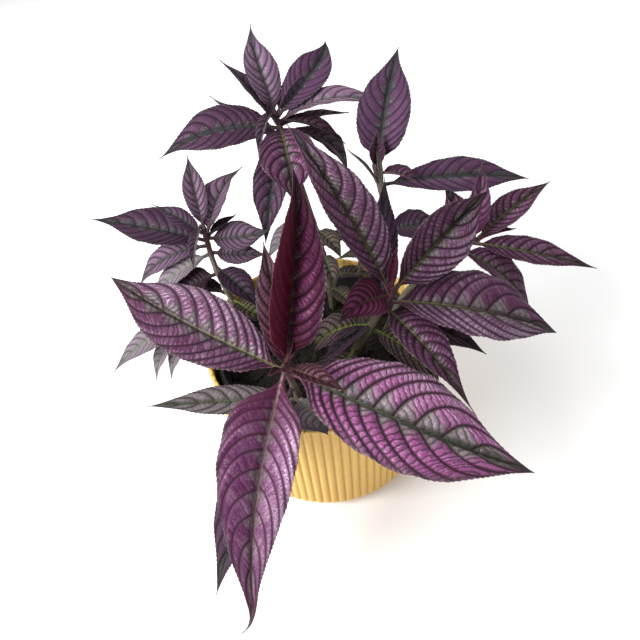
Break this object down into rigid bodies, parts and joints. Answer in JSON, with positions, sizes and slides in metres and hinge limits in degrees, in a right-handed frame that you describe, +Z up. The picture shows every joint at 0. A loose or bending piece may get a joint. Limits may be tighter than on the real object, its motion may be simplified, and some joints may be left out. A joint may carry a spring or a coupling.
{
  "type": "potted persian shield",
  "caption": "Potted Persian shield (Strobilanthes) with quilted purple leaves on leaning shoots, rooted in a black nursery pot inside a ribbed yellow cover pot",
  "frame": {"origin": "centre of the cover pot's flat base, on the surface that it stands on", "axes": "+Z up along the pot's axis, -Y towards the side that the nearest shoot leans to, +X to the right when seen from that side"},
  "size_m": [0.3175, 0.2947, 0.2253],
  "materials": {
    "pot_yellow": "matte",
    "liner_black": "satin",
    "peat": "rough",
    "stem_bark": "matte",
    "leaf_purple": "satin",
    "leaf_maroon": "satin",
    "leaf_grey_purple": "satin",
    "leaf_lilac": "matte",
    "leaf_olive": "matte",
    "leaf_dark": "matte"
  },
  "bodies": {
    "root": {"cover_pot": "pot_yellow", "nursery_pot": "liner_black", "potting_soil": "peat", "front_stem": "stem_bark", "right_stem": "stem_bark", "back_stem": "stem_bark", "rear_right_stem": "stem_bark", "left_stem": "stem_bark", "far_right_stem": "stem_bark", "low_left_stem": "stem_bark", "front_leaf_1": "leaf_purple", "front_leaf_2": "leaf_purple", "front_leaf_3": "leaf_purple", "front_leaf_4": "leaf_purple", "front_leaf_5": "leaf_purple", "front_leaf_6": "leaf_maroon", "front_leaf_7": "leaf_grey_purple", "front_leaf_8": "leaf_grey_purple", "right_leaf_1": "leaf_purple", "right_leaf_2": "leaf_purple", "right_leaf_3": "leaf_purple", "right_leaf_4": "leaf_maroon", "right_leaf_5": "leaf_maroon", "right_leaf_6": "leaf_grey_purple", "right_leaf_7": "leaf_olive", "right_leaf_8": "leaf_olive", "right_leaf_9": "leaf_olive", "right_leaf_10": "leaf_dark", "back_leaf_1": "leaf_grey_purple", "back_leaf_2": "leaf_grey_purple", "back_leaf_3": "leaf_grey_purple", "back_leaf_4": "leaf_grey_purple", "back_leaf_5": "leaf_grey_purple", "back_leaf_6": "leaf_purple", "back_leaf_7": "leaf_grey_purple", "back_leaf_8": "leaf_dark", "back_leaf_9": "leaf_dark", "back_leaf_10": "leaf_grey_purple", "rear_right_leaf_1": "leaf_purple", "rear_right_leaf_2": "leaf_grey_purple", "rear_right_leaf_3": "leaf_olive", "left_leaf_1": "leaf_grey_purple", "left_leaf_2": "leaf_grey_purple", "left_leaf_3": "leaf_grey_purple", "left_leaf_4": "leaf_grey_purple", "left_leaf_5": "leaf_grey_purple", "left_leaf_6": "leaf_olive", "left_leaf_7": "leaf_dark", "left_leaf_8": "leaf_grey_purple", "left_leaf_9": "leaf_grey_purple", "left_leaf_10": "leaf_lilac", "left_leaf_11": "leaf_olive", "far_right_leaf_1": "leaf_grey_purple", "far_right_leaf_2": "leaf_grey_purple", "far_right_leaf_3": "leaf_grey_purple", "far_right_leaf_4": "leaf_maroon", "far_right_leaf_5": "leaf_purple", "low_left_leaf_1": "leaf_lilac", "low_left_leaf_2": "leaf_lilac", "low_left_leaf_3": "leaf_lilac"}
  },
  "joints": []
}
